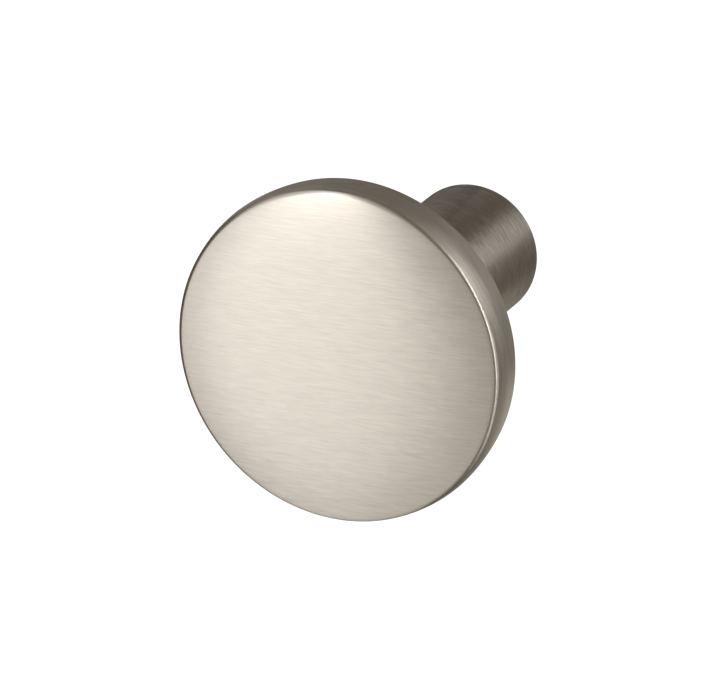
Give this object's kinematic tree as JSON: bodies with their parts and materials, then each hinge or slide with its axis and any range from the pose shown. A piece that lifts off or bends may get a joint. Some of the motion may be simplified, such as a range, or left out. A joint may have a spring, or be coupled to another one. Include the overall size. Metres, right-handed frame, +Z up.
{
  "type": "cabinet knob",
  "caption": "Round cabinet knob with a flat face and softly rolled border on a plain round stem, tapped at its base for a machine screw.",
  "frame": {"origin": "centre of the stem's base face, which sits on the door", "axes": "+Y along the knob's axis, out of the screw hole and into the door; the face looks along -Y; +Z up as mounted on an upright door"},
  "size_m": [0.0319, 0.033, 0.032],
  "materials": {
    "satin_nickel": "zinc casting plated in nickel, brushed to a satin sheen: straight grain across the face, grain round the rim and stem"
  },
  "bodies": {
    "root": {"knob": "satin_nickel"}
  },
  "joints": []
}
